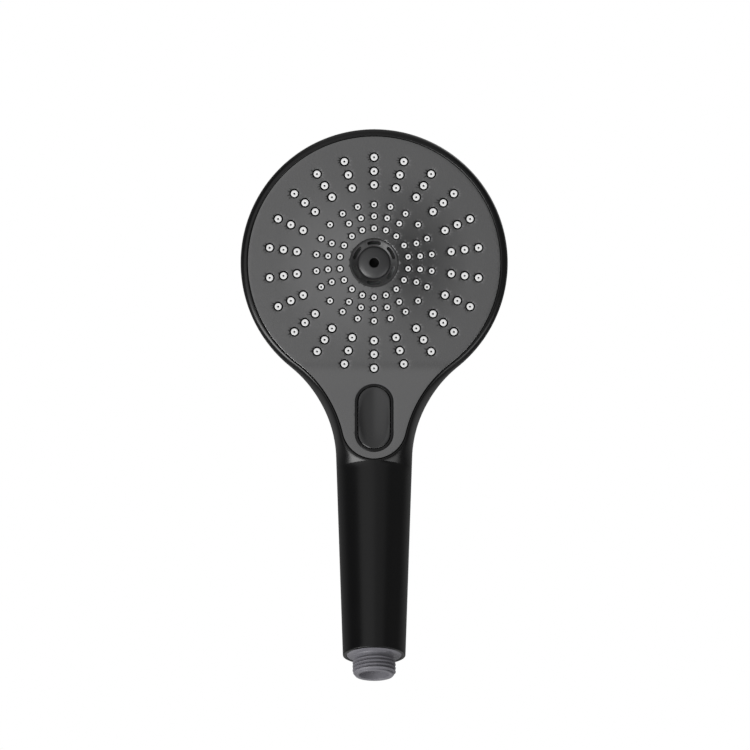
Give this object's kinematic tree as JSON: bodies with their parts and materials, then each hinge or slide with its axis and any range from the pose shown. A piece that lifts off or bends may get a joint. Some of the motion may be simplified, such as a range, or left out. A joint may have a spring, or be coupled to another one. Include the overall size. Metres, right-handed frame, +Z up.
{
  "type": "handheld shower head",
  "caption": "Handheld shower head: round spray face with soft nozzles, slotted centre jet, selector button and a tapered handle with a threaded inlet.",
  "frame": {"origin": "centre of the threaded inlet's end face", "axes": "+Z up along the plane of the spray face, the spray face looks along -Y, +X to the right seen from in front of the face"},
  "size_m": [0.1298, 0.0707, 0.2681],
  "materials": {
    "black": "satin black",
    "plate": "satin dark grey",
    "trim": "satin black",
    "button": "satin black",
    "nozzle": "soft light grey",
    "seal": "black rubber",
    "engine": "natural grey",
    "valve": "natural white",
    "drive": "red",
    "ratchet": "ivory",
    "inlet": "satin grey",
    "limiter": "green",
    "steel": "stainless",
    "brass": "plain"
  },
  "bodies": {
    "handset": {"housing": "black", "face_plate": "plate", "button_bezel": "trim", "outer_nozzle_mat": "nozzle", "inner_nozzle_mat": "nozzle", "jet_ring": "trim", "jet_core": "trim", "swirl_plate": "engine", "turbine_axle": "steel", "thrust_washer": "brass", "spray_plate": "engine", "distributor_plate": "engine", "diverter_manifold": "engine", "engine_screws": "steel", "valve_body": "valve", "seat_seals": "seal", "cartridge_cap": "valve", "stem_seal": "seal", "detent_ball": "steel", "detent_spring": "steel", "return_spring": "steel", "waterway_tube": "engine", "tube_seals": "seal", "inlet_connector": "inlet", "flow_limiter": "limiter", "limiter_seal": "seal", "inlet_filter": "steel"},
    "button": {"select_button": "button", "push_stem": "valve"},
    "drive": {"drive_ring": "drive"},
    "selector": {"ratchet_rotor": "ratchet", "diverter_disc": "valve"},
    "turbine": {"turbine": "engine"}
  },
  "joints": [
    {"name": "button_press", "type": "slide", "parent": "handset", "child": "button", "axis": [0, 0.9511, -0.309], "range_m": [0, 0.003], "stiffness_N_per_m": 900, "springref_m": -0.003, "deforming": ["return_spring"]},
    {"name": "drive_ring_turn", "type": "hinge", "parent": "handset", "child": "drive", "pos_m": [0, 0.02419, 0.1246], "axis": [0, 0.9511, -0.309], "range_deg": [0, 60]},
    {"name": "selector_turn", "type": "hinge", "parent": "handset", "child": "selector", "pos_m": [0, 0.02419, 0.1246], "axis": [0, 0.9511, -0.309], "continuous": true},
    {"name": "turbine_spin", "type": "hinge", "parent": "handset", "child": "turbine", "pos_m": [0, 0.03049, 0.2], "axis": [0, -1, 0], "continuous": true}
  ],
  "couplings": [
    {"joint": "drive_ring_turn", "follows": "button_press", "rad_per_m": 349}
  ]
}
